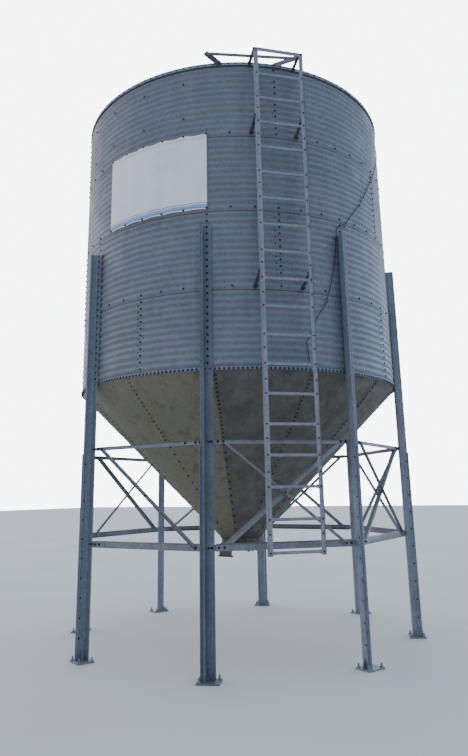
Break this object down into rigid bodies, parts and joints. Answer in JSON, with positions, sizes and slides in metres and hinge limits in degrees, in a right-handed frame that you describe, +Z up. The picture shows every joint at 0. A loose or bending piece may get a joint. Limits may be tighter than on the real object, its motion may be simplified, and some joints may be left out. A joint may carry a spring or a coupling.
{
  "type": "grain silo",
  "caption": "Corrugated steel grain silo with a conical roof, a hopper bottom on braced legs and an outside ladder.",
  "frame": {"origin": "on the bin's upright axis, at the underside of the foot plates", "axes": "+Z up along the bin's axis; -Y is the front, the middle of the bay left of the leg that stands nearest in the picture; the ladder stands 45 degrees round from -Y towards +X"},
  "size_m": [3.6932, 3.6932, 6.9031],
  "materials": {
    "wall_steel": "weathered galvanised, satin",
    "roof_steel": "weathered galvanised, satin",
    "hopper_steel": "galvanised under brown dust, matt",
    "frame_steel": "galvanised, satin",
    "banner_cloth": "coated cloth, matt",
    "rope_fibre": "matt"
  },
  "bodies": {
    "root": {"wall_ring_1_sheet_1": "wall_steel", "wall_ring_1_sheet_2": "wall_steel", "wall_ring_1_sheet_3": "wall_steel", "wall_ring_1_sheet_4": "wall_steel", "wall_ring_2_sheet_1": "wall_steel", "wall_ring_2_sheet_2": "wall_steel", "wall_ring_2_sheet_3": "wall_steel", "wall_ring_2_sheet_4": "wall_steel", "wall_ring_3_sheet_1": "wall_steel", "wall_ring_3_sheet_2": "wall_steel", "wall_ring_3_sheet_3": "wall_steel", "wall_ring_3_sheet_4": "wall_steel", "wall_ring_4_sheet_1": "wall_steel", "wall_ring_4_sheet_2": "wall_steel", "wall_ring_4_sheet_3": "wall_steel", "wall_ring_4_sheet_4": "wall_steel", "hopper_quarter_1": "hopper_steel", "hopper_quarter_2": "hopper_steel", "hopper_quarter_3": "hopper_steel", "hopper_quarter_4": "hopper_steel", "outlet_collar": "hopper_steel", "gate_frame": "hopper_steel", "slide_gate": "hopper_steel", "roof_quarter_1": "roof_steel", "roof_quarter_2": "roof_steel", "roof_quarter_3": "roof_steel", "roof_quarter_4": "roof_steel", "roof_peak_ring": "roof_steel", "roof_lid": "roof_steel", "leg_1": "frame_steel", "leg_2": "frame_steel", "leg_3": "frame_steel", "leg_4": "frame_steel", "leg_5": "frame_steel", "leg_6": "frame_steel", "leg_7": "frame_steel", "leg_8": "frame_steel", "brace_frame_1": "frame_steel", "brace_frame_2": "frame_steel", "brace_frame_3": "frame_steel", "brace_frame_4": "frame_steel", "brace_frame_5": "frame_steel", "brace_frame_6": "frame_steel", "brace_frame_7": "frame_steel", "brace_frame_8": "frame_steel", "ladder_upper": "frame_steel", "ladder_lower": "frame_steel", "eave_guard_rail": "frame_steel", "banner": "banner_cloth", "wall_rope": "rope_fibre"}
  },
  "joints": []
}
